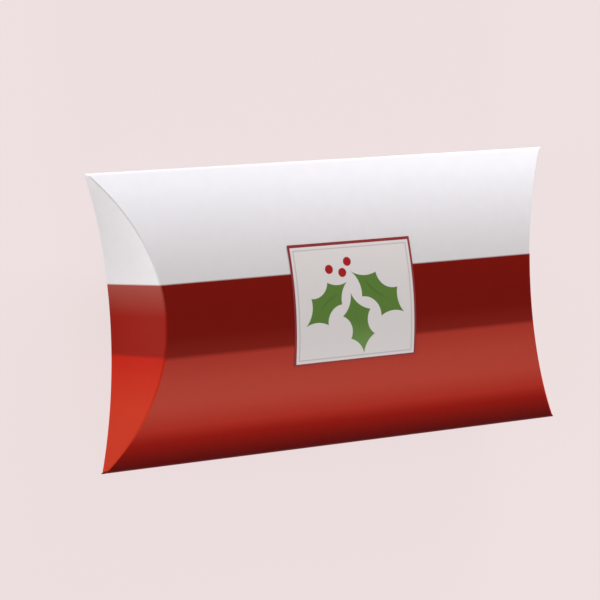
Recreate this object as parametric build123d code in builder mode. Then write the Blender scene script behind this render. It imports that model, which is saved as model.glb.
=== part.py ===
"""Pillow box: one folded card blank with a glued seam, two flaps at each end and a square label.

The closed box lies on its back panel: X along the length, Y across the width, Z through the depth.
The origin is the middle of the box's footprint, on the surface that it lies on. Sizes are in mm.
"""

import os
from math import atan2, cos, degrees, pi, radians, sin

from build123d import *

# Overall sizes of the closed box
box_length = 167.0
box_width = 90.0
box_depth = 30.0

# The closed ends lean this far, in degrees, so that the front panel is the shorter one
end_lean = 8.5

# Card and folds
board = 0.4
fold_radius = 0.6
crease_gap = 0.15

# End flaps
flap_gap = 0.5
outer_flap_setback = 0.6
inner_flap_setback = 1.0
flap_tip_setback = 1.4

# Glued seam along one long crease
glue = 0.1
tab_width = 13.0
tab_end_setback = 7.0
tab_end_taper = 10.0
tab_root = 0.9
glue_width = 7.0
glue_end_setback = 13.0
glue_edge_setback = 2.5

# Label on the front panel
label_width = 44.0
label_height = 37.5
label_thickness = 0.12
label_shift = (-0.3, 1.0)

# Every cutting solid runs past what it cuts by this much
overrun = 5.0

# Which way each side lies along its axis
LEFT, RIGHT = -1, 1
FRONT, BACK = 1, -1
SEAM = -1

half_length = box_length / 2
half_width = box_width / 2
half_depth = box_depth / 2

# A long crease bends round the inside radius of its fold and the three layers of the seam
crease_radius = fold_radius + 2 * board + glue

# Each panel's arc runs tangent into the round of the two long creases
crease_centre = half_width - crease_radius
panel_radius = (crease_centre**2 + half_depth**2 - crease_radius**2) / (2 * (half_depth - crease_radius))
panel_centre = panel_radius - half_depth
edge_angle = degrees(atan2(crease_centre, panel_centre))

# The inner flap of an end stands behind the outer one
flap_pitch = board + flap_gap

# A flap mirrors the panel in the plane of their crease, so each crease's plane halves the angle between them
lean = radians(end_lean)
crease_tilt = {FRONT: (pi / 2 - lean) / 2, BACK: (pi / 2 + lean) / 2}


def section_plane(x=0.0, rise=0.0):
    """The plane across the box at x, its middle raised above mid depth by rise."""
    return Plane(origin=(x, 0, half_depth + rise), x_dir=(0, 1, 0), z_dir=(1, 0, 0))


def end_plane(end, pitch=0.0):
    """The plane square to an end's flaps, its origin on the line between the tips, its second axis inwards."""
    origin = (end * (half_length - pitch), 0, half_depth)
    return Plane(origin=origin, x_dir=(0, end, 0), z_dir=(-end * sin(lean), 0, cos(lean)))


def crease_plane(end, face, pitch=0.0):
    """The plane near 45 degrees that holds one end's curved crease on the front or the back."""
    origin = (end * (half_length - pitch), 0, half_depth)
    tilt = crease_tilt[face]
    return Plane(origin=origin, x_dir=(0, end, 0), z_dir=(end * sin(tilt), 0, face * cos(tilt)))


def pillow(inset=0.0):
    """The closed box seen along its length, moved inwards by the inset: two panels, two long creases."""
    with BuildSketch() as outline:
        with BuildLine():
            for side in (1, -1):
                CenterArc(
                    (0, -side * panel_centre), panel_radius - inset, side * 90 - edge_angle, 2 * edge_angle
                )
                CenterArc(
                    (side * crease_centre, 0),
                    crease_radius - inset,
                    90 - side * 90 - (90 - edge_angle),
                    2 * (90 - edge_angle),
                )
        make_face()
    return outline.sketch


def shell_wall(outside, inside):
    """The wall between two insets of the box's outline."""
    with BuildSketch() as wall:
        add(pillow(outside))
        add(pillow(inside), mode=Mode.SUBTRACT)
    return wall.sketch


def crease_prism(end, face, pitch=0.0, gap=0.0):
    """What lies past the mitre of a curved crease, which in its own plane is the outline stretched."""
    with BuildPart() as prism:
        with BuildSketch(crease_plane(end, face, pitch)):
            add(pillow(gap))
            scale(by=(1, 1 / sin(crease_tilt[face]), 1))
        extrude(amount=box_depth, both=True)
    return prism.part


def panel(face, pitch=0.0):
    """A front or back panel: half of the box's wall, mitred at both curved end creases."""
    with BuildPart() as shell:
        with BuildSketch(section_plane()):
            add(shell_wall(0, board))
            split(bisect_by=Plane.XZ, keep=Keep.BOTTOM if face == FRONT else Keep.TOP)
        extrude(amount=half_length - pitch, both=True)
        for end in (LEFT, RIGHT):
            add(crease_prism(end, face, pitch), mode=Mode.SUBTRACT)
    return shell.part


def end_wall(end, pitch=0.0):
    """The hollow wall of one end over the whole depth, curved like a panel, stopping short of the tips."""
    with BuildPart() as wall:
        with BuildSketch(end_plane(end, pitch)):
            add(shell_wall(-board, 0))
            split(bisect_by=Plane.XZ, keep=Keep.BOTTOM)
            Rectangle(2 * (half_width - flap_tip_setback), box_depth + overrun, mode=Mode.INTERSECT)
        extrude(amount=box_depth, both=True)
    return wall.part


def outer_flap(end):
    """The outer flap of one end: a full lens, hinged on the front panel's crease."""
    with BuildPart() as flap:
        add(end_wall(end))
        add(crease_prism(end, FRONT, gap=crease_gap), mode=Mode.INTERSECT)
        with BuildSketch(section_plane(rise=outer_flap_setback)):
            add(pillow())
        extrude(amount=box_length, both=True, mode=Mode.INTERSECT)
    return flap.part


def inner_flap(end):
    """The inner flap of one end: half a lens behind the outer flap, hinged on the back panel's crease."""
    with BuildPart() as flap:
        add(end_wall(end, flap_pitch))
        add(crease_prism(end, BACK, flap_pitch, crease_gap), mode=Mode.INTERSECT)
        split(bisect_by=Plane.XY.offset(half_depth - inner_flap_setback), keep=Keep.BOTTOM)
    return flap.part


with BuildPart() as front_panel:
    add(panel(FRONT))

with BuildPart() as back_panel:
    add(panel(BACK, flap_pitch))

with BuildPart() as left_outer_flap:
    add(outer_flap(LEFT))

with BuildPart() as right_outer_flap:
    add(outer_flap(RIGHT))

with BuildPart() as left_inner_flap:
    add(inner_flap(LEFT))

with BuildPart() as right_inner_flap:
    add(inner_flap(RIGHT))

# Seam tab: folded in from the back panel, under the front panel's edge, with tapered ends
with BuildPart() as seam_tab:
    with BuildSketch(section_plane()):
        add(shell_wall(board + glue, 2 * board + glue))
        split(bisect_by=Plane.XZ, keep=Keep.BOTTOM)
        with BuildSketch(mode=Mode.PRIVATE) as root:
            add(shell_wall(board, 2 * board + glue))
            split(bisect_by=Plane.XZ, keep=Keep.TOP)
            Rectangle(box_width, 2 * tab_root, mode=Mode.INTERSECT)
        add(root.sketch)
        with Locations((SEAM * half_width, 0)):
            Rectangle(2 * tab_width, box_depth, mode=Mode.INTERSECT)
    extrude(amount=half_length, both=True)
    with BuildSketch(Plane.XY):
        with BuildLine():
            crease_end = half_length - tab_end_setback
            free_y = SEAM * (half_width - tab_width - overrun)
            free_end = crease_end - tab_end_taper
            Polyline(
                (-crease_end, SEAM * half_width),
                (crease_end, SEAM * half_width),
                (free_end, free_y),
                (-free_end, free_y),
                close=True,
            )
        make_face()
    extrude(amount=box_depth, mode=Mode.INTERSECT)

# Seam adhesive: a thin strip that fills the space between the tab and the front panel
with BuildPart() as seam_adhesive:
    with BuildSketch(section_plane()):
        add(shell_wall(board, board + glue))
        split(bisect_by=Plane.XZ, keep=Keep.BOTTOM)
        with Locations((SEAM * (half_width - glue_edge_setback - glue_width / 2), 0)):
            Rectangle(glue_width, box_depth, mode=Mode.INTERSECT)
    extrude(amount=half_length - glue_end_setback, both=True)

# Label: a square of thin paper, bent round the front panel
with BuildPart() as label:
    shift_angle = degrees(label_shift[1] / panel_radius)
    label_angle = degrees(label_height / panel_radius)
    with BuildSketch(section_plane(label_shift[0])):
        with BuildLine():
            start = 90 - shift_angle - label_angle / 2
            under = CenterArc((0, -panel_centre), panel_radius, start, label_angle)
            over = CenterArc((0, -panel_centre), panel_radius + label_thickness, start, label_angle)
            Line(under @ 0, over @ 0)
            Line(under @ 1, over @ 1)
        make_face()
    extrude(amount=label_width / 2, both=True)

pieces = {
    "front_panel": front_panel,
    "back_panel": back_panel,
    "left_outer_flap": left_outer_flap,
    "right_outer_flap": right_outer_flap,
    "left_inner_flap": left_inner_flap,
    "right_inner_flap": right_inner_flap,
    "seam_tab": seam_tab,
    "seam_adhesive": seam_adhesive,
    "label": label,
}

os.makedirs("parts", exist_ok=True)
for name, piece in pieces.items():
    piece.part.label = name
    export_step(piece.part, f"parts/{name}.step")
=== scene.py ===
"""Pillow box of folded card: the looks of its panels, end flaps, seam and label, in metres."""

import logging
import math
from dataclasses import dataclass, field
from enum import Enum
from typing import Any, Optional, Union

import bmesh
import bpy
from mathutils import Matrix, Vector


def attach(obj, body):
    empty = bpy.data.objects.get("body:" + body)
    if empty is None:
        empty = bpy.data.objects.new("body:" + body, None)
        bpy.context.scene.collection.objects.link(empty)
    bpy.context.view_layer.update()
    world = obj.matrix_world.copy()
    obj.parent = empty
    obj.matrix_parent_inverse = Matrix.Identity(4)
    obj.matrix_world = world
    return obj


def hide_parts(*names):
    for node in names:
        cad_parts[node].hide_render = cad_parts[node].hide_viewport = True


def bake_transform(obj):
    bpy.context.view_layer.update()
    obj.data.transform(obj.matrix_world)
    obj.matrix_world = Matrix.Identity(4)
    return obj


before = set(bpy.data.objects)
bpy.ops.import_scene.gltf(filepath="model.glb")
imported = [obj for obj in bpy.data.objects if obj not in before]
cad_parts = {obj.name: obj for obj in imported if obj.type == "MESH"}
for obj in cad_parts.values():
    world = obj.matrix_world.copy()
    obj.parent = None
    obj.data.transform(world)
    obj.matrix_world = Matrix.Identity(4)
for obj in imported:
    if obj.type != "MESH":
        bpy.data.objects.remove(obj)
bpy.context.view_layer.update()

log = logging.getLogger("pillow_box")

MM = 0.001
Value = Union["Sock", float, int, tuple]
Colour = tuple[float, float, float, float]
Spikes = tuple[tuple[float, float], tuple[float, float]]


class Face(Enum):
    """The two panels, by the way that each one bulges along Z."""

    FRONT = 1
    BACK = -1


class End(Enum):
    """The two ends of the box, by their side along X."""

    LEFT = -1
    RIGHT = 1


class Sock:
    """A node's output that can be written into sums."""

    def __init__(self, tree: "Tree", socket: bpy.types.NodeSocket) -> None:
        """Keeps an output and the tree that its sums are added to."""
        self.tree = tree
        self.socket = socket

    def __add__(self, other: Value) -> "Sock":
        """This plus the other."""
        return self.tree.math("ADD", self, other)

    __radd__ = __add__

    def __sub__(self, other: Value) -> "Sock":
        """This minus the other."""
        return self.tree.math("SUBTRACT", self, other)

    def __rsub__(self, other: Value) -> "Sock":
        """The other minus this."""
        return self.tree.math("SUBTRACT", other, self)

    def __mul__(self, other: Value) -> "Sock":
        """This times the other."""
        return self.tree.math("MULTIPLY", self, other)

    __rmul__ = __mul__

    def __truediv__(self, other: Value) -> "Sock":
        """This over the other."""
        return self.tree.math("DIVIDE", self, other)

    def __neg__(self) -> "Sock":
        """This with its sign turned."""
        return self.tree.math("MULTIPLY", self, -1.0)

    def __pow__(self, other: Value) -> "Sock":
        """This to the power of the other."""
        return self.tree.math("POWER", self, other)

    def __gt__(self, other: Value) -> "Sock":
        """1 where this is above the other, else 0."""
        return self.tree.math("GREATER_THAN", self, other)

    def __lt__(self, other: Value) -> "Sock":
        """1 where this is below the other, else 0."""
        return self.tree.math("LESS_THAN", self, other)


class Tree:
    """A node tree and the few ways in which nodes are added to it."""

    def __init__(self, tree: bpy.types.NodeTree) -> None:
        """Starts on a tree, cleared of the nodes that it came with."""
        self.tree = tree
        tree.nodes.clear()

    def feed(self, socket: bpy.types.NodeSocket, value: Any) -> None:
        """Links a Sock to an input, or sets a plain value there."""
        if isinstance(value, Sock):
            self.tree.links.new(value.socket, socket)
        else:
            socket.default_value = value

    def node(
        self,
        kind: str,
        settings: Optional[dict[str, Any]] = None,
        sockets: Optional[dict[Union[str, int], Any]] = None,
    ) -> bpy.types.Node:
        """Adds a node.

        Args:
            kind: The node's type.
            settings: Its properties, set first.
            sockets: Its inputs, by name or number, each a Sock or a plain value.

        Returns:
            The new node.
        """
        made = self.tree.nodes.new(kind)
        for name, value in (settings or {}).items():
            setattr(made, name, value)
        for name, value in (sockets or {}).items():
            self.feed(made.inputs[name], value)
        return made

    def out(self, node: bpy.types.Node, name: Union[str, int] = 0) -> Sock:
        """One output of a node, by name or number."""
        return Sock(self, node.outputs[name])

    def math(self, operation: str, *values: Value, clamp: bool = False) -> Sock:
        """Adds a Math node.

        Args:
            operation: The node's operation.
            values: Its inputs in order.
            clamp: Whether the result stays between 0 and 1.

        Returns:
            The node's result.
        """
        settings = {"operation": operation, "use_clamp": clamp}
        return self.out(self.node("ShaderNodeMath", settings, dict(enumerate(values))))

    def vector_math(self, operation: str, *values: Value) -> Sock:
        """Adds a Vector Math node.

        Args:
            operation: The node's operation.
            values: Its inputs in order.

        Returns:
            The node's vector, or its number for a distance.
        """
        made = self.node("ShaderNodeVectorMath", {"operation": operation}, dict(enumerate(values)))
        return self.out(made, "Value" if operation == "DISTANCE" else "Vector")

    def brighten(self, colour: Sock, factor: Value) -> Sock:
        """A colour times a factor."""
        sockets = {"Vector": colour, "Scale": factor}
        made = self.node("ShaderNodeVectorMath", {"operation": "SCALE"}, sockets)
        return self.out(made, "Vector")

    def combine(self, x: Value, y: Value, z: Value = 0.0) -> Sock:
        """A vector made of three values."""
        return self.out(self.node("ShaderNodeCombineXYZ", None, {0: x, 1: y, 2: z}))

    def separate(self, vector: Sock) -> tuple[Sock, Sock, Sock]:
        """The three values of a vector."""
        made = self.node("ShaderNodeSeparateXYZ", None, {0: vector})
        return self.out(made, 0), self.out(made, 1), self.out(made, 2)

    def ramp(self, value: Value, low: float, high: float) -> Sock:
        """0 below low and 1 above high, or the other way round where low is the larger.

        Args:
            value: What is compared.
            low: Where the result is 0.
            high: Where the result is 1.

        Returns:
            The share between the two, clamped.
        """
        return self.math("MULTIPLY", value - low, 1.0 / (high - low), clamp=True)

    def smaller(self, a: Value, b: Value) -> Sock:
        """The smaller of two values."""
        return self.math("MINIMUM", a, b)

    def larger(self, a: Value, b: Value) -> Sock:
        """The larger of two values."""
        return self.math("MAXIMUM", a, b)

    def size(self, a: Value) -> Sock:
        """A value without its sign."""
        return self.math("ABSOLUTE", a)

    def mix_colour(self, share: Value, a: Value, b: Value) -> Sock:
        """A colour between two: the first at a share of 0, the second at 1."""
        # The Mix node has sockets for each kind of value: colours go in at 6 and 7, out at 2
        made = self.node("ShaderNodeMix", {"data_type": "RGBA"}, {0: share, 6: a, 7: b})
        return self.out(made, 2)

    def object_place(self) -> Sock:
        """Where a point lies in its object's own coordinates."""
        return self.out(self.node("ShaderNodeTexCoord"), "Object")

    def sheet_place(self) -> Sock:
        """Where a point lies on its sheet, by the sheet's own map."""
        return self.out(self.node("ShaderNodeUVMap", {"uv_map": "sheet"}))


def add_object(name: str, data: bpy.types.ID) -> bpy.types.Object:
    """Makes an object of a mesh, lamp or camera and puts it in the scene."""
    made = bpy.data.objects.new(name, data)
    bpy.context.scene.collection.objects.link(made)
    return made


@dataclass(frozen=True)
class BoxForm:
    """Sizes of the closed box, in metres and radians."""

    length: float = 167 * MM
    width: float = 90 * MM
    depth: float = 30 * MM
    board: float = 0.4 * MM
    edge_round: float = 1.5 * MM
    flap_pitch: float = 0.9 * MM
    lean: float = math.radians(8.5)

    @property
    def half_length(self) -> float:
        """Half the length."""
        return self.length / 2

    @property
    def half_depth(self) -> float:
        """Half the depth."""
        return self.depth / 2

    @property
    def round_centre(self) -> float:
        """How far out the middle of a long crease's round lies."""
        return self.width / 2 - self.edge_round

    @property
    def panel_radius(self) -> float:
        """Outside radius of a panel's bow."""
        rise = self.half_depth - self.edge_round
        return (self.round_centre**2 + self.half_depth**2 - self.edge_round**2) / (2 * rise)

    @property
    def panel_centre(self) -> float:
        """How far the bow's centre lies beyond the middle of the depth."""
        return self.panel_radius - self.half_depth

    @property
    def edge_angle(self) -> float:
        """The slope at which a bow runs into the long crease's round."""
        return math.atan2(self.round_centre, self.panel_centre)

    def fall(self, aside: float) -> float:
        """How far a bow has fallen at a distance from its middle line."""
        return self.panel_radius - math.sqrt(self.panel_radius**2 - aside**2)

    @property
    def bow_sizes(self) -> dict[str, float]:
        """The named sizes of a panel's bow."""
        return {
            "Bow Radius": self.panel_radius,
            "Bow Centre": self.panel_centre,
            "Middle": self.half_depth,
        }

    def pitch(self, face: Face) -> float:
        """How far the leaves of a face are set back from the tips."""
        return 0.0 if face is Face.FRONT else self.flap_pitch

    def crease_tilt(self, face: Face) -> float:
        """The angle between a curved crease's plane and the length."""
        return (math.pi / 2 - face.value * self.lean) / 2

    def recess(self, face: Face) -> float:
        """How far a curved crease moves inwards for each metre that it rises."""
        return 1 / math.tan(self.crease_tilt(face))

    def hinge(self, face: Face, end: End) -> Vector:
        """The middle of a curved crease."""
        x = self.half_length - self.pitch(face) - self.half_depth * self.recess(face)
        return Vector((end.value * x, 0, self.half_depth * (1 + face.value)))

    def down(self, face: Face, end: End) -> Vector:
        """The direction down a closed flap, from its crease to its free edge."""
        sine, cosine = math.sin(self.lean), math.cos(self.lean)
        return Vector((end.value * face.value * sine, 0, -face.value * cosine))


@dataclass(frozen=True)
class Finish:
    """What the finishes share: a name, and a shader that each one fills in."""

    name: str = "finish"
    roughness: float = 0.5

    def paint(self, tree: Tree) -> dict[str, Any]:
        """The inputs of the main shader, by name.

        Args:
            tree: The material's tree.

        Returns:
            A value or link for each input that is set.
        """
        raise NotImplementedError

    def surface(self, tree: Tree) -> Sock:
        """The surface's shader in the material's tree."""
        return tree.out(tree.node("ShaderNodeBsdfPrincipled", None, self.paint(tree)))

    def build(self) -> bpy.types.Material:
        """Makes the material.

        Returns:
            The new material.
        """
        made = bpy.data.materials.new(self.name)
        made.use_nodes = True
        tree = Tree(made.node_tree)
        tree.node("ShaderNodeOutputMaterial", None, {"Surface": self.surface(tree)})
        return made


@dataclass(frozen=True)
class Grain:
    """A noise pattern: its cells per metre, and the number and strength of its finer layers."""

    scale: float
    detail: float
    rough: float = 0.5

    def read(self, tree: Tree, place: Sock) -> Sock:
        """The pattern at a place, about 0.5 on average."""
        sockets = {
            "Vector": place,
            "Scale": self.scale,
            "Detail": self.detail,
            "Roughness": self.rough,
        }
        return tree.out(tree.node("ShaderNodeTexNoise", None, sockets), "Fac")


def bump(tree: Tree, height: Sock, distance: float) -> Sock:
    """A bumped normal.

    Args:
        tree: The material's tree.
        height: The height, 0 to 1.
        distance: How many metres a height of 1 stands for.

    Returns:
        The normal.
    """
    sockets = {"Strength": 1.0, "Distance": distance, "Height": height}
    return tree.out(tree.node("ShaderNodeBump", None, sockets))


@dataclass(frozen=True)
class ColourBand:
    """A band of colour across the width, for the print and for painted shade and sheen alike: where
    it starts and ends, and the colour after it.
    """

    start: float
    end: float
    colour: Colour


# Bands across the panels' width, from the top long crease down: the print, with painted shade and a
# painted sheen where marked.
PANEL_PRINT_AND_PAINTED_LIGHT = (
    # Painted shade: the white greys towards the reds.
    ColourBand(40 * MM, 12 * MM, (0.79, 0.755, 0.76, 1)),
    ColourBand(11.15 * MM, 10.65 * MM, (0.224, 0.0060, 0.0024, 1)),
    # Painted light: the dark red band lightens towards its lower edge.
    ColourBand(-5.0 * MM, -10.4 * MM, (0.262, 0.0138, 0.0065, 1)),
    ColourBand(-10.6 * MM, -12.0 * MM, (0.50, 0.042, 0.026, 1)),
    # Painted sheen: a paler, hazed red on the upper part of the lighter red.
    ColourBand(-12.0 * MM, -19.0 * MM, (0.545, 0.057, 0.034, 1)),
    # Painted shade: over these two bands the red darkens to near black towards the lower long
    # crease.
    ColourBand(-26 * MM, -37 * MM, (0.42, 0.009, 0.002, 1)),
    ColourBand(-33 * MM, -44.0 * MM, (0.10, 0.0007, 0.0003, 1)),
)
# The flaps' bands copy the panels' print with painted light for the way that the flaps face.
# Painted shade: the white is darker at the top of the flap.
FLAP_WHITE_PAINTED_SHADE = (0.69, 0.69, 0.695, 1)
FLAP_PRINT_AND_PAINTED_LIGHT = (
    # Painted light: the white lightens towards the reds.
    ColourBand(40 * MM, 12 * MM, (0.89, 0.90, 0.915, 1)),
    # Painted reflection: a pale pinkish haze at the top of the dark red band, gone by 1 mm.
    ColourBand(11.15 * MM, 10.65 * MM, (0.41, 0.078, 0.055, 1)),
    # Painted light: the dark red band is brighter than the panels'.
    ColourBand(10.65 * MM, 1.0 * MM, (0.355, 0.010, 0.002, 1)),
    # Painted light: the reds are brighter than the panels' and lighten further towards the free
    # edge.
    ColourBand(-10.3 * MM, -11.3 * MM, (0.61, 0.014, 0.001, 1)),
    ColourBand(-11.3 * MM, -26.0 * MM, (0.68, 0.040, 0.010, 1)),
)


@dataclass(frozen=True)
class PrintedCardPaintedLight(Finish):
    """Coated board printed in soft-edged bands across its width, some bands being painted shade and
    painted sheen.
    """

    name: str = "printed_card"
    roughness: float = 0.36
    # The colour above the first band: white on the panels; the flaps pass a white darkened with
    # painted shade.
    white: Colour = (0.885, 0.866, 0.915, 1)
    colour_bands: tuple[ColourBand, ...] = PANEL_PRINT_AND_PAINTED_LIGHT
    cloud: Grain = Grain(260, 3)
    fibre: Grain = Grain(4200, 2, 0.6)
    brightness: float = 0.96
    cloud_light: float = 0.05
    fibre_light: float = 0.03
    cloud_matt: float = 0.10
    worn_matt: float = 0.25
    crease_wear: float = 0.45 * MM
    worn_patches: tuple[float, float] = (0.3, 0.7)
    relief: float = 0.02 * MM
    specular: float = 0.18

    def paint(self, tree: Tree) -> dict[str, Any]:
        """The print with its painted shade and sheen, its fibres and the scuffed creases.

        Args:
            tree: The material's tree.

        Returns:
            The main shader's inputs.
        """
        place = tree.object_place()
        across = tree.separate(place)[1]
        from_crease = tree.separate(tree.sheet_place())[0]
        cloud, fibre = self.cloud.read(tree, place), self.fibre.read(tree, place)

        colour = self.white
        # The bands lay in the print and the painted shade and sheen over it.
        for colour_band in self.colour_bands:
            colour = tree.mix_colour(tree.ramp(across, colour_band.start, colour_band.end), colour, colour_band.colour)
        light = self.brightness + self.cloud_light * cloud + self.fibre_light * fibre
        worn = tree.ramp(from_crease, self.crease_wear, 0.0) * tree.ramp(cloud, *self.worn_patches)
        return {
            "Base Color": tree.brighten(colour, light),
            "Roughness": self.roughness + self.cloud_matt * (cloud - 0.5) + self.worn_matt * worn,
            "Normal": bump(tree, fibre * 0.5 + cloud * 0.5, self.relief),
            "Specular IOR Level": self.specular,
        }


@dataclass(frozen=True)
class BareCard(Finish):
    """The uncoated white side of the board, with short fibres and a few specks."""

    name: str = "bare_card"
    roughness: float = 0.82
    colour: Colour = (0.80, 0.77, 0.72, 1)
    cloudy: Colour = (0.70, 0.66, 0.60, 1)
    speck: Colour = (0.52, 0.46, 0.38, 1)
    fibre: Grain = Grain(2600, 4, 0.65)
    cloud: Grain = Grain(180, 3)
    specks: Grain = Grain(1500, 1)
    speck_range: tuple[float, float] = (0.72, 0.76)
    speck_share: float = 0.5
    cloud_share: float = 0.18
    fibre_matt: float = 0.08
    relief: float = 0.035 * MM

    def paint(self, tree: Tree) -> dict[str, Any]:
        """Fibres and specks, as inputs of the main shader."""
        place = tree.object_place()
        fibre, cloud = self.fibre.read(tree, place), self.cloud.read(tree, place)
        specks = tree.ramp(self.specks.read(tree, place), *self.speck_range)
        colour = tree.mix_colour(specks * self.speck_share, self.colour, self.speck)
        return {
            "Base Color": tree.mix_colour(cloud * self.cloud_share, colour, self.cloudy),
            "Roughness": self.roughness + self.fibre_matt * (fibre - 0.5),
            "Normal": bump(tree, fibre, self.relief),
        }


@dataclass(frozen=True)
class GlueFilm(Finish):
    """A thin film of set glue with a rolled texture."""

    name: str = "glue_film"
    roughness: float = 0.45
    colour: Colour = (0.82, 0.78, 0.62, 1)
    streaked: Colour = (0.70, 0.64, 0.46, 1)
    streak: Grain = Grain(1800, 2)
    stretch: tuple[float, float, float] = (0.1, 1, 1)
    streak_matt: float = 0.2
    relief: float = 0.03 * MM

    def paint(self, tree: Tree) -> dict[str, Any]:
        """Streaks left by the roller, as inputs of the main shader."""
        place = tree.vector_math("MULTIPLY", tree.object_place(), self.stretch)
        streak = self.streak.read(tree, place)
        return {
            "Base Color": tree.mix_colour(streak, self.colour, self.streaked),
            "Roughness": self.roughness + self.streak_matt * (streak - 0.5),
            "Normal": bump(tree, streak, self.relief),
        }


@dataclass(frozen=True)
class Leaf:
    """One holly leaf: where its stem starts, its direction, its length and its halves' spikes.

    For a leaf of length 1, a spike is given by its place along it and its distance from the vein.
    """

    start: tuple[float, float]
    angle: float
    length: float
    left: Spikes
    right: Spikes
    vein_bow: float = 0.0


@dataclass(frozen=True)
class LabelPaper(Finish):
    """Matt paper printed with a border, a thin frame and a sprig of holly, the leaves paled by a
    painted sheen towards the bottom.
    """

    name: str = "label_paper"
    roughness: float = 0.36
    width: float = 44.0 * MM
    height: float = 37.5 * MM
    paper: Colour = (0.88, 0.82, 0.812, 1)
    cloudy: Colour = (0.76, 0.705, 0.705, 1)
    border: Colour = (0.33, 0.034, 0.040, 1)
    frame_line: Colour = (0.52, 0.43, 0.44, 1)
    green: Colour = (0.127, 0.254, 0.041, 1)
    # Painted sheen: a paler leaf green that the leaves turn towards the bottom of the label.
    painted_sheen_green: Colour = (0.18, 0.33, 0.075, 1)
    vein: Colour = (0.085, 0.19, 0.035, 1)
    berry: Colour = (0.47, 0.008, 0.009, 1)
    fibre: Grain = Grain(3000, 4, 0.6)
    cloud: Grain = Grain(220, 2)
    cloud_share: float = 0.12
    frame_share: float = 0.55
    fibre_matt: float = 0.08
    relief: float = 0.015 * MM
    specular: float = 0.8
    # Where the painted sheen on the leaves grows, from top to bottom.
    painted_sheen_span: tuple[float, float] = (-6.0 * MM, -13.0 * MM)
    border_width: float = 0.68 * MM
    print_drop: float = 0.22 * MM
    frame_inset: float = 1.75 * MM
    frame_width: float = 0.16 * MM
    berry_radius: float = 1.42 * MM
    soft: float = 0.08 * MM
    berries: tuple[tuple[float, float], ...] = (
        (-8.5 * MM, 10.35 * MM),
        (-1.75 * MM, 12.35 * MM),
        (-3.9 * MM, 9.05 * MM),
    )
    leaves: tuple[Leaf, ...] = (
        Leaf(
            (-1.15 * MM, 9.4 * MM),
            math.radians(-37.3),
            23.5 * MM,
            ((0.337, 0.205), (0.722, 0.220)),
            ((0.334, 0.190), (0.732, 0.237)),
            0.028,
        ),
        Leaf(
            (-2.6 * MM, 6.1 * MM),
            math.radians(-140),
            20.1 * MM,
            ((0.307, 0.190), (0.695, 0.258)),
            ((0.262, 0.235), (0.640, 0.252)),
            0.045,
        ),
        Leaf(
            (-1.65 * MM, 2.6 * MM),
            math.radians(-76.4),
            19.9 * MM,
            ((0.351, 0.270), (0.752, 0.249)),
            ((0.310, 0.240), (0.700, 0.180)),
        ),
    )
    hollows: tuple[float, float, float] = (0.13, 0.22, 0.13)
    spike_end: float = 0.02
    vein_width: float = 0.011
    vein_fade: tuple[float, float] = (1.5, 0.5)
    vein_middle: float = 0.48
    vein_half: float = 0.22
    vein_starts: tuple[float, float] = (0.24, 0.32)
    vein_ends: tuple[float, float] = (0.70, 0.55)
    vein_share: float = 0.9
    straight_vein: float = 0.3

    def scallops(self, spikes: Spikes) -> list[tuple[float, float, float]]:
        """The circles that bite the scallops out of one half of a leaf of length 1.

        Args:
            spikes: The half's spikes.

        Returns:
            A centre and a radius for each circle.
        """
        corners = ((0.0, 0.0), *spikes, (1.0, 0.0))
        made = []
        for (ax, ay), (bx, by), hollow in zip(corners, corners[1:], self.hollows):
            half = math.hypot(bx - ax, by - ay) / 2
            sag = 2 * half * hollow
            radius = (half**2 + sag**2) / (2 * sag)
            out = (radius - sag) / (2 * half)
            x, y = (ax + bx) / 2 - (by - ay) * out, (ay + by) / 2 + (bx - ax) * out
            made.append((x, y, radius))
        return made

    def leaf(self, tree: Tree, u: Sock, v: Sock, leaf: Leaf) -> tuple[Sock, Sock]:
        """Where one leaf and its vein are printed.

        Args:
            tree: The material's tree.
            u: Place along the label's width.
            v: Place along its height.
            leaf: The leaf.

        Returns:
            The masks of the leaf and of its vein.
        """
        c, s = math.cos(leaf.angle) / leaf.length, math.sin(leaf.angle) / leaf.length
        du, dv = u - leaf.start[0], v - leaf.start[1]
        along = du * c + dv * s
        side = dv * c - du * s
        spot = tree.combine(along, side)
        edge = self.soft / leaf.length
        inside = tree.ramp(along, 0.0, edge) * tree.ramp(along, 1.0, 1.0 - edge)
        for sign, spikes in ((1, leaf.left), (-1, leaf.right)):
            widest = max(spike[1] for spike in spikes) + self.spike_end
            inside = inside * tree.ramp(side * sign, widest, widest - edge)
            for x, y, radius in self.scallops(spikes):
                gap = tree.vector_math("DISTANCE", spot, (x, y * sign, 0)) - radius
                inside = inside * tree.ramp(gap, -edge / 2, edge / 2)
        run = (along - self.vein_middle) / self.vein_half
        bow = (run * run - 0.5) * leaf.vein_bow
        fade = [self.vein_width * share for share in self.vein_fade]
        vein = tree.ramp(tree.size(side - bow), *fade)
        vein = vein * tree.ramp(along, *self.vein_starts) * tree.ramp(along, *self.vein_ends)
        return inside, vein * (1.0 if leaf.vein_bow else self.straight_vein)

    def paint(self, tree: Tree) -> dict[str, Any]:
        """The paper, its border and frame, and the sprig with its painted sheen.

        Args:
            tree: The material's tree.

        Returns:
            The main shader's inputs.
        """
        sheet = tree.sheet_place()
        u, v, _ = tree.separate(sheet)
        fibre, cloud = self.fibre.read(tree, sheet), self.cloud.read(tree, sheet)
        from_top = self.height / 2 - tree.size(v + self.print_drop)
        inset = tree.smaller(self.width / 2 - tree.size(u), from_top)
        on_border = tree.ramp(inset, self.border_width + self.soft, self.border_width)
        off_frame = tree.size(inset - self.frame_inset)
        on_frame = tree.ramp(off_frame, self.frame_width + self.soft, self.frame_width)
        colour = tree.mix_colour(cloud * self.cloud_share, self.paper, self.cloudy)
        colour = tree.mix_colour(on_frame * self.frame_share, colour, self.frame_line)
        colour = tree.mix_colour(on_border, colour, self.border)
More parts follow.
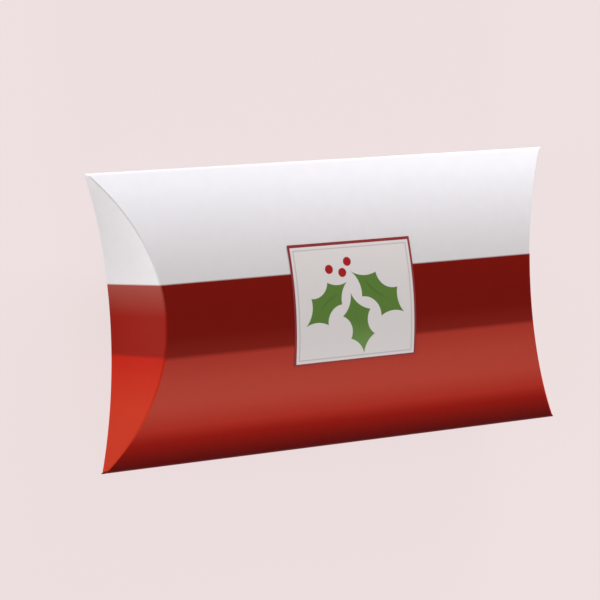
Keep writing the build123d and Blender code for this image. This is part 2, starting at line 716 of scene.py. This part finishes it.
        # Painted sheen: the leaves pale towards the bottom.
        green = tree.mix_colour(tree.ramp(v, *self.painted_sheen_span), self.green, self.painted_sheen_green)
        for leaf in self.leaves:
            inside, vein = self.leaf(tree, u, v, leaf)
            colour = tree.mix_colour(inside, colour, green)
            colour = tree.mix_colour(inside * vein * self.vein_share, colour, self.vein)
        for x, y in self.berries:
            gap = tree.vector_math("DISTANCE", sheet, (x, y, 0))
            on_berry = tree.ramp(gap, self.berry_radius + self.soft, self.berry_radius - self.soft)
            colour = tree.mix_colour(on_berry, colour, self.berry)
        return {
            "Base Color": colour,
            "Roughness": self.roughness + self.fibre_matt * (fibre - 0.5),
            "Normal": bump(tree, fibre, self.relief),
            "Specular IOR Level": self.specular,
        }


class SheetTree(Tree):
    """Geometry nodes that bend a flat block, two layers thick, into a closed sheet of card.

    Further out than printed_from the print goes on over the board's edge, down to printed_rim of
    its thickness. Within a hair of the block's end counts as on it.
    """

    printed_from = 40 * MM
    printed_rim = 0.75
    hair = 0.001
    sharp_from = math.radians(50)

    def __init__(self, name: str, sizes: dict[str, float]) -> None:
        """Makes the tree's inputs and its flat block.

        Args:
            name: The tree's name.
            sizes: The named sizes and their values.
        """
        group = bpy.data.node_groups.new(name, "GeometryNodeTree")
        super().__init__(group)
        group.interface.new_socket("Sheet", in_out="OUTPUT", socket_type="NodeSocketGeometry")
        for size, value in sizes.items():
            made = group.interface.new_socket(size, in_out="INPUT", socket_type="NodeSocketFloat")
            made.default_value = value
        for count in ("Columns", "Rows"):
            group.interface.new_socket(count, in_out="INPUT", socket_type="NodeSocketInt")
        for side in ("Outside", "Inside"):
            group.interface.new_socket(side, in_out="INPUT", socket_type="NodeSocketMaterial")
        self.inputs = self.node("NodeGroupInput")
        self.sizes = sizes
        block = {"Size": (1, 1, 1), "Vertices X": self.given("Columns")}
        block.update({"Vertices Y": self.given("Rows"), "Vertices Z": 2})
        self.block = self.out(self.node("GeometryNodeMeshCube", None, block), "Mesh")
        x, y, z = self.separate(self.out(self.node("GeometryNodeInputPosition")))
        self.along = x + 0.5
        self.across = y * 2.0
        self.under = 0.5 - z

    def given(self, name: str) -> Sock:
        """One of the tree's inputs."""
        return self.out(self.inputs, name)

    def sine(self, angle: Value) -> Sock:
        """The sine of an angle."""
        return self.math("SINE", angle)

    def cosine(self, angle: Value) -> Sock:
        """The cosine of an angle."""
        return self.math("COSINE", angle)

    def finish(self, place: Sock, sheet: Sock, turned: bool, joined: Value = 0.0) -> None:
        """Moves the block's points, keeps the sheet's own map and sets the two materials.

        Args:
            place: Where each point goes.
            sheet: The map, in metres on the sheet.
            turned: Whether the move turns the block inside out.
            joined: 1 on the walls where the board runs on into the next leaf.
        """
        mesh = self.block
        y = self.separate(place)[1]
        rim = (self.under < self.printed_rim) * (self.size(y) > self.printed_from)
        above = self.larger(self.larger(self.under < self.hair, rim), joined)
        stores = (("sheet", "FLOAT2", "CORNER", sheet), ("outside", "BOOLEAN", "FACE", above))
        for name, kind, domain, value in stores:
            made = self.node(
                "GeometryNodeStoreNamedAttribute",
                {"data_type": kind, "domain": domain},
                {"Geometry": mesh, "Name": name, "Value": value},
            )
            mesh = self.out(made)
        moved = {"Geometry": mesh, "Position": place}
        mesh = self.out(self.node("GeometryNodeSetPosition", None, moved))
        if turned:
            mesh = self.out(self.node("GeometryNodeFlipFaces", None, {"Mesh": mesh}))
        mesh = self.out(self.node("GeometryNodeRealizeInstances", None, {"Geometry": mesh}))
        kept = self.node(
            "GeometryNodeInputNamedAttribute", {"data_type": "BOOLEAN"}, {"Name": "outside"}
        )
        outer = self.out(kept)
        for side, chosen in (("Inside", True), ("Outside", outer)):
            sockets = {"Geometry": mesh, "Selection": chosen, "Material": self.given(side)}
            mesh = self.out(self.node("GeometryNodeSetMaterial", None, sockets))
        self.node("NodeGroupOutput", None, {0: mesh})

    def bake(
        self,
        name: str,
        columns: int,
        rows: int,
        outside: bpy.types.Material,
        inside: bpy.types.Material,
    ) -> bpy.types.Object:
        """Runs the tree and keeps its result as a plain mesh.

        Args:
            name: The new piece's name.
            columns: Points along the sheet.
            rows: Points across it.
            outside: Material of the outer layer.
            inside: Material of the inner layer and the cut edges.

        Returns:
            The finished piece.
        """
        host = add_object(name + "_host", bpy.data.meshes.new(name + "_host"))
        modifier = host.modifiers.new("Sheet", "NODES")
        modifier.node_group = self.tree
        given = {"Columns": columns, "Rows": rows, "Outside": outside, "Inside": inside}
        given.update(self.sizes)
        for item in self.tree.interface.items_tree:
            if item.in_out == "INPUT":
                modifier[item.identifier] = given[item.name]
        bpy.context.view_layer.update()
        graph = bpy.context.evaluated_depsgraph_get()
        mesh = bpy.data.meshes.new_from_object(host.evaluated_get(graph))
        bpy.data.objects.remove(host)
        mesh.name = name
        mesh.attributes.remove(mesh.attributes["outside"])
        mesh.shade_smooth()
        mesh.set_sharp_from_angle(angle=self.sharp_from)
        return add_object(name, mesh)


@dataclass(frozen=True)
class Knot:
    """A point of a flap, and its share of the flap's turn when the flap is open.

    The point is given by how far down the flap and how far from its middle line it lies.
    """

    down: float
    aside: float
    turn: float


@dataclass(frozen=True)
class Facets:
    """The knots of half a flap, and the triples of knots between which it bends evenly.

    The lead is how much more the board's outside turns than its inside, for each metre between.
    """

    knots: tuple[Knot, ...]
    lead: float
    triples: tuple[tuple[int, int, int], ...] = (
        (0, 4, 1), (4, 7, 1), (1, 7, 9), (1, 9, 2), (4, 5, 7),
        (5, 6, 7), (7, 6, 9), (6, 8, 9), (9, 8, 3), (9, 3, 2),
    )


def lay_knots(*rows: tuple[float, float, float]) -> tuple[Knot, ...]:
    """Knots from rows of down and aside, both in millimetres, and turn."""
    return tuple(Knot(down * MM, aside * MM, turn) for down, aside, turn in rows)


OUTER_FACETS = Facets(
    lay_knots(
        (-1.0, 0, -0.444),
        (-0.2, 17.18, -0.212),
        (4.2, 33.0, -0.421),
        (16.2, 46.0, 0.03),
        (1.2, 0, 1.032),
        (31.0, 0, 1.137),
        (31.0, 42.07, 0.55),
        (1.26, 2.15, 0.895),
        (28.0, 50.0, 0.368),
        (6.49, 24.03, 0.44),
    ),
    lead=20.0,
)
INNER_FACETS = Facets(
    lay_knots(
        (-1.0, 0, 0.328),
        (-0.2, 30.75, -1.109),
        (3.0, 37.0, -0.818),
        (10.5, 46.0, -0.103),
        (1.2, 0, 1.114),
        (17.0, 0, 1.204),
        (17.0, 36.9, 0.505),
        (1.14, 4.07, 0.864),
        (16.0, 50.0, 0.195),
        (4.6, 24.55, 0.369),
    ),
    lead=35.0,
)


@dataclass
class CardBlank:
    """The folded blank: two bowed panels of one sheet each, and four end flaps cut into facets."""

    form: BoxForm
    outside: bpy.types.Material
    # The flaps' outside: a copy of the print with painted light for the way that the flaps face.
    flap_print_painted_light: bpy.types.Material
    inside: bpy.types.Material
    fold_round: float = 0.55 * MM
    crease_share: float = 0.93
    outer_gap: float = 0.6 * MM
    inner_gap: float = 1.0 * MM
    tip_gap: float = 0.4 * MM
    tip_round: float = 0.5 * MM
    shortest: float = 0.2 * MM
    roll_share: float = 0.2
    columns: int = 60
    panel_rows: int = 181
    flap_rows: int = 121
    cut_tolerance: float = 1e-8
    most_corners: int = 4
    outside_slot: int = 1
    facets: dict[Face, Facets] = field(
        default_factory=lambda: {Face.FRONT: OUTER_FACETS, Face.BACK: INNER_FACETS}
    )

    def body(self, face: Face, end: End) -> str:
        """The name of the body that a flap moves with."""
        return f"{end.name.lower()}_{'outer' if face is Face.FRONT else 'inner'}"

    def turn(self, face: Face) -> float:
        """The angle that a flap is folded through."""
        return math.pi / 2 - face.value * self.form.lean

    def reach(self, face: Face) -> float:
        """How far a fold's round begins before its crease."""
        return self.fold_round * math.tan(self.turn(face) / 2)

    def leaf_sizes(self, face: Face) -> dict[str, float]:
        """The named sizes that a face's panel and its flaps share."""
        return {
            "Half Length": self.form.half_length - self.form.pitch(face),
            "Recess": self.form.recess(face),
            "Fold Reach": self.reach(face),
            "Board": self.form.board,
            **self.form.bow_sizes,
        }

    def panel(self, face: Face) -> bpy.types.Object:
        """One bowed panel, from end fold to end fold and round into the long creases.

        Args:
            face: Front or back.

        Returns:
            The finished piece.
        """
        form = self.form
        name = f"{face.name.lower()}_panel"
        tree = SheetTree(
            "bowed_panel_" + name,
            {
                **self.leaf_sizes(face),
                "Edge Radius": form.edge_round,
                "Edge Centre": form.round_centre,
                "Edge Angle": form.edge_angle,
                "Tip Round": self.tip_round,
            },
        )
        share = self.crease_share
        apart = tree.size(tree.across)
        sign = tree.math("SIGN", tree.across)
        edge_angle = tree.given("Edge Angle")
        slope = tree.smaller(apart / share, 1.0) * edge_angle
        into_round = tree.larger((apart - share) / (1 - share), 0.0)
        slope = slope + into_round * (math.pi / 2 - edge_angle)
        in_round = apart > share
        centre_y = in_round * tree.given("Edge Centre")
        centre_z = -(1 - in_round) * tree.given("Bow Centre")
        bow = tree.given("Bow Radius")
        radius = bow + in_round * (tree.given("Edge Radius") - bow)
        inner = radius - tree.under * tree.given("Board")
        height = centre_z + radius * tree.cosine(slope)
        half = tree.given("Half Length") - tree.given("Recess") * height
        half = half - tree.given("Fold Reach") * (1 - in_round)
        half = half - tree.given("Tip Round") * into_round
        y = sign * (centre_y + inner * tree.sine(slope))
        z = tree.given("Middle") + face.value * (centre_z + inner * tree.cosine(slope))
        x = (tree.along * 2.0 - 1.0) * half
        from_crease = half - tree.size(x)
        joined = tree.size(tree.along - 0.5) > 0.5 - tree.hair
        place, sheet = tree.combine(x, y, z), tree.combine(from_crease, y)
        tree.finish(place, sheet, face is Face.BACK, joined)
        piece = tree.bake(name + "_skin", self.columns, self.panel_rows, self.outside, self.inside)
        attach(piece, "box")
        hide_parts(name)
        return piece

    def flap(self, face: Face, end: End) -> list[bpy.types.Object]:
        """One end flap with the round of its fold.

        Args:
            face: Front for the outer flap, back for the inner one.
            end: The end that it closes.

        Returns:
            The facets that make up the flap.
        """
        form = self.form
        flap = self.body(face, end)
        tip_angle = math.asin((form.width / 2 - self.tip_gap) / form.panel_radius)
        tree = SheetTree(
            flap + "_leaf",
            {
                **self.leaf_sizes(face),
                "Fold Radius": self.fold_round,
                "Fold Turn": self.turn(face),
                "Tip Angle": tip_angle,
                "Free Gap": self.outer_gap if face is Face.FRONT else self.inner_gap,
                "Shortest": self.shortest,
            },
        )
        slope = tree.across * tree.given("Tip Angle")
        sine, cosine = tree.sine(slope), tree.cosine(slope)
        height = tree.given("Bow Radius") * cosine - tree.given("Bow Centre")
        turn = tree.smaller(tree.along / self.roll_share, 1.0) * tree.given("Fold Turn")
        spans = 2.0 if face is Face.FRONT else 1.0
        drop = (height * spans - tree.given("Free Gap")) / tree.sine(tree.given("Fold Turn"))
        run = tree.larger(drop - tree.given("Fold Reach"), tree.given("Shortest"))
        past_roll = (tree.along - self.roll_share) / (1 - self.roll_share)
        straight = tree.larger(past_roll, 0.0) * run
        turn_x, turn_z = tree.cosine(turn), -tree.sine(turn)
        fold = tree.given("Fold Radius")
        out = fold * tree.sine(turn) - tree.given("Fold Reach") + straight * turn_x
        down = fold * (tree.cosine(turn) - 1.0) + straight * turn_z
        recess = tree.given("Recess")
        normal_y = sine * (recess * turn_z + turn_x)
        normal = tree.combine(-(turn_z * cosine), normal_y, turn_x * cosine)
        normal = tree.vector_math("NORMALIZE", normal)
        deep = tree.under * tree.given("Board")
        nx, ny, nz = tree.separate(normal)
        x = tree.given("Half Length") - recess * height + out - deep * nx
        y = tree.given("Bow Radius") * sine - deep * ny
        z = height + down - deep * nz
        place = tree.combine(x * end.value, y, tree.given("Middle") + z * face.value)
        from_crease = tree.size(turn / tree.given("Fold Turn") - 0.5) * fold + straight
        turned = end.value * face.value < 0
        tree.finish(place, tree.combine(from_crease, y), turned, tree.along < tree.hair)
        name = flap + "_flap_whole"
        whole = tree.bake(name, self.columns, self.flap_rows, self.flap_print_painted_light, self.inside)
        made = [
            self.facet(whole, face, end, side, number)
            for side in (-1, 1)
            for number in range(len(self.facets[face].triples))
        ]
        bpy.data.objects.remove(whole)
        return made

    def facet(
        self, whole: bpy.types.Object, face: Face, end: End, side: int, number: int
    ) -> bpy.types.Object:
        """Cuts one facet out of a flap; the rate at which it would bend is worked out but not used.

        Args:
            whole: The whole flap.
            face: The flap's face.
            end: The flap's end.
            side: 1 for the half towards +Y, -1 for the other half.
            number: The facet's place in the list of triples.

        Returns:
            The finished piece.
        """
        form = self.form
        facets = self.facets[face]
        knots = [facets.knots[place] for place in facets.triples[number]]
        hinge, down = form.hinge(face, end), form.down(face, end)
        aside = Vector((0, 1, 0))
        through = down.cross(aside) * (end.value * face.value)
        corners = [
            hinge + down * knot.down + through * form.fall(knot.aside) + aside * (side * knot.aside)
            for knot in knots
        ]
        middle = sum(corners, Vector()) / len(corners)
        shape = bmesh.new()
        shape.from_mesh(whole.data)
        for one, two in zip(corners, corners[1:] + corners[:1]):
            away = (two - one).cross(through).normalized()
            if away.dot(middle - one) > 0:
                away.negate()
            parts = [*shape.verts, *shape.edges, *shape.faces]
            cut = bmesh.ops.bisect_plane(
                shape,
                geom=parts,
                dist=self.cut_tolerance,
                plane_co=one,
                plane_no=away,
                clear_outer=True,
            )
            rim = [item for item in cut["geom_cut"] if isinstance(item, bmesh.types.BMEdge)]
            for edge in rim:
                edge.smooth = False
            if rim:
                bmesh.ops.edgenet_fill(
                    shape, edges=rim, mat_nr=self.outside_slot, use_smooth=False
                )
        many_sided = [item for item in shape.faces if len(item.verts) > self.most_corners]
        bmesh.ops.triangulate(shape, faces=many_sided)
        body = self.body(face, end)
        name = f"{body}_flap_skin_{'low' if side < 0 else 'up'}_{number + 1}"
        data = whole.data.copy()
        data.name = name
        shape.to_mesh(data)
        shape.free()
        piece = add_object(name, data)
        rate = self.rate(knots, down, side, facets.lead) + through * facets.lead
        step = rate / rate.length_squared
        start = corners[0] - step * knots[0].turn
        start + step
        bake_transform(piece)
        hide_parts(body + "_flap")
        return piece

    def rate(self, knots: list[Knot], down: Vector, side: int, lead: float) -> Vector:
        """How the turn changes along a flap's plane between three knots.

        Args:
            knots: The three knots.
            down: The direction down the flap.
            side: The half of the flap.
            lead: How the turn changes through the board.

        Returns:
            The change for each metre, along the direction of its growth.
        """
        first, second, third = knots
        turns = [knot.turn - lead * self.form.fall(knot.aside) for knot in knots]
        one = (second.down - first.down, second.aside - first.aside, turns[1] - turns[0])
        two = (third.down - first.down, third.aside - first.aside, turns[2] - turns[0])
        area = one[0] * two[1] - one[1] * two[0]
        along = (one[2] * two[1] - one[1] * two[2]) / area
        across = (one[0] * two[2] - one[2] * two[0]) / area
        return down * along + Vector((0, side * across, 0))

    def build(self) -> list[bpy.types.Object]:
        """Makes the panels and the flaps.

        Returns:
            The finished pieces.
        """
        made = [self.panel(face) for face in Face]
        for face in Face:
            for end in End:
                made += self.flap(face, end)
        return made


@dataclass
class Seam:
    """The glue tab and its glue, which keep the shapes that they are packed with."""

    tab: bpy.types.Material
    glue: bpy.types.Material

    def build(self) -> list[bpy.types.Object]:
        """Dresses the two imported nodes.

        Returns:
            The dressed nodes.
        """
        made = []
        for node, finish in (("seam_tab", self.tab), ("seam_adhesive", self.glue)):
            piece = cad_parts[node]
            piece.data.materials.clear()
            piece.data.materials.append(finish)
            made.append(piece)
        return made


@dataclass
class StuckLabel:
    """The square paper label, bent round the front panel, its corners a little raised."""

    form: BoxForm
    paper: LabelPaper
    thickness: float = 0.12 * MM
    shift: tuple[float, float] = (-0.3 * MM, 1.0 * MM)
    corner_lift: float = 0.12 * MM
    lift_power: float = 6.0
    points: int = 61

    def build(self) -> bpy.types.Object:
        """Makes the label.

        Returns:
            The finished piece.
        """
        paper = self.paper.build()
        tree = SheetTree(
            "stuck_label",
            {
                "Width": self.paper.width,
                "Height": self.paper.height,
                "Thickness": self.thickness,
                "Shift X": self.shift[0],
                "Shift Y": self.shift[1],
                "Corner Lift": self.corner_lift,
                **self.form.bow_sizes,
            },
        )
        u = (tree.along - 0.5) * tree.given("Width")
        v = tree.across * 0.5 * tree.given("Height")
        slope = (v + tree.given("Shift Y")) / tree.given("Bow Radius")
        corner = tree.size(tree.along * 2.0 - 1.0) * tree.size(tree.across)
        lift = (corner**self.lift_power) * tree.given("Corner Lift")
        radius = tree.given("Bow Radius") + tree.given("Thickness") * (1 - tree.under) + lift
        x = u + tree.given("Shift X")
        y = radius * tree.sine(slope)
        z = tree.given("Middle") - tree.given("Bow Centre") + radius * tree.cosine(slope)
        tree.finish(tree.combine(x, y, z), tree.combine(u, v), False)
        piece = tree.bake("label_sheet", self.points, self.points, paper, paper)
        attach(piece, "box")
        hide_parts("label")
        return piece


@dataclass(frozen=True)
class StudioGround(Finish):
    """A plain pale ground whose colour stays even in view, with the object's soft shadow on it."""

    name: str = "studio_ground"
    colour: Colour = (0.883, 0.771, 0.771, 1)
    cloudy: Colour = (0.83, 0.725, 0.725, 1)
    cloud: Grain = Grain(3, 2)
    cloud_share: float = 0.04
    even: float = 0.88

    def surface(self, tree: Tree) -> Sock:
        """A matt colour, which glows evenly where the camera sees it.

        Args:
            tree: The material's tree.

        Returns:
            The shader.
        """
        cloud = self.cloud.read(tree, tree.object_place())
        colour = tree.mix_colour(cloud * self.cloud_share, self.colour, self.cloudy)
        matt = tree.out(tree.node("ShaderNodeBsdfDiffuse", None, {"Color": colour}))
        sockets = {"Color": self.colour, "Strength": 1.0}
        glow = tree.out(tree.node("ShaderNodeEmission", None, sockets))
        seen = tree.out(tree.node("ShaderNodeLightPath"), "Is Camera Ray") * self.even
        mixed = tree.node("ShaderNodeMixShader", None, {0: seen, 1: matt, 2: glow})
        return tree.out(mixed)


@dataclass(frozen=True)
class Lamp:
    """One soft square lamp, and whether it is mirrored in glossy surfaces."""

    name: str
    place: tuple[float, float, float]
    size: float
    power: float
    mirrored: bool = False


@dataclass
class Studio:
    """The pale ground, the soft lamps and the camera."""

    ground: bpy.types.Material
    ground_size: float = 12.0
    ground_drop: float = 0.05 * MM
    aim: tuple[float, float, float] = (0.0, 0.0, 0.015)
    lamps: tuple[Lamp, ...] = (
        Lamp("key_lamp", (0.600, 1.060, 0.260), 0.5, 16.3),
        Lamp("fill_lamp", (0.050, -1.217, 0.281), 0.4, 10.0),
        Lamp("end_lamp", (-1.222, 0.043, 0.260), 0.5, 6.6),
        Lamp("gloss_lamp", (0.442, -0.765, 0.884), 0.5, 0.65, True),
    )
    ambient: float = 0.3
    mirrored_ambient: float = 0.05
    backdrop: Colour = (0.85, 0.74, 0.74, 1)
    camera_place: tuple[float, float, float] = (-0.370971, 0.049940, 0.651705)
    camera_aim: tuple[float, float, float] = (-0.011550, 0.001639, 0.015000)
    camera_up: tuple[float, float, float] = (0.080331, 0.996310, -0.030234)
    lens: float = 140.302
    sensor: float = 36.0
    nearest: float = 0.01

    def build_ground(self) -> None:
        """Makes the ground, just under the object."""
        mesh = bpy.data.meshes.new("ground")
        half = self.ground_size / 2
        corners = [(-half, -half), (half, -half), (half, half), (-half, half)]
        mesh.from_pydata([(x, y, -self.ground_drop) for x, y in corners], [], [(0, 1, 2, 3)])
        mesh.materials.append(self.ground)
        ground = add_object("ground", mesh)

    def build_lamps(self) -> None:
        """Hangs the lamps round the object, all facing it."""
        for lamp in self.lamps:
            light = bpy.data.lights.new(lamp.name, "AREA")
            light.shape = "SQUARE"
            light.size = lamp.size
            light.energy = lamp.power
            made = add_object(lamp.name, light)
            made.location = lamp.place
            made.visible_glossy = lamp.mirrored
            sight = Vector(self.aim) - made.location
            made.rotation_euler = sight.to_track_quat("-Z", "Y").to_euler()

    def build_world(self) -> None:
        """Fills the surroundings with a dim even light that shows the pale backdrop's colour."""
        world = bpy.data.worlds.new("surroundings")
        world.use_nodes = True
        bpy.context.scene.world = world
        tree = Tree(world.node_tree)
        path = tree.node("ShaderNodeLightPath")
        seen = tree.larger(tree.out(path, "Is Camera Ray"), tree.out(path, "Is Transmission Ray"))
        mirrored = tree.out(path, "Is Glossy Ray")
        strength = self.ambient + (self.mirrored_ambient - self.ambient) * mirrored
        lights = []
        for colour, power in (((1, 1, 1, 1), strength), (self.backdrop, 1.0)):
            sockets = {"Color": colour, "Strength": power}
            lights.append(tree.out(tree.node("ShaderNodeBackground", None, sockets)))
        mixed = tree.node("ShaderNodeMixShader", None, {0: seen, 1: lights[0], 2: lights[1]})
        tree.node("ShaderNodeOutputWorld", None, {"Surface": tree.out(mixed)})

    def build_camera(self) -> None:
        """Sets the camera where the picture was taken from."""
        data = bpy.data.cameras.new("camera")
        data.lens = self.lens
        data.sensor_width = self.sensor
        data.clip_start = self.nearest
        camera = add_object("camera", data)
        back = (Vector(self.camera_place) - Vector(self.camera_aim)).normalized()
        right = Vector(self.camera_up).cross(back).normalized()
        up = back.cross(right)
        turn = Matrix((right, up, back)).transposed().to_4x4()
        camera.matrix_world = Matrix.Translation(self.camera_place) @ turn
        bpy.context.scene.camera = camera

    def build(self) -> None:
        """Makes the whole studio."""
        bpy.context.scene.view_settings.view_transform = "Standard"
        self.build_ground()
        self.build_lamps()
        self.build_world()
        self.build_camera()


def main() -> None:
    """Builds the studio and every piece in order."""
    logging.basicConfig(level=logging.INFO, format="%(name)s: %(message)s")
    form = BoxForm()
    Studio(StudioGround().build()).build()
    outside = PrintedCardPaintedLight().build()
    # The flaps' outside: the print, copied with painted light for the way that the flaps face.
    flap_print_painted_light = PrintedCardPaintedLight("printed_flap", white=FLAP_WHITE_PAINTED_SHADE, colour_bands=FLAP_PRINT_AND_PAINTED_LIGHT).build()
    bare = BareCard().build()
    pieces = CardBlank(form, outside, flap_print_painted_light, bare).build()
    pieces += Seam(bare, GlueFilm().build()).build()
    pieces.append(StuckLabel(form, LabelPaper()).build())
    for piece in pieces:
        log.info("%s: %d faces", piece.name, len(piece.data.polygons))


if __name__ == "__main__":
    main()
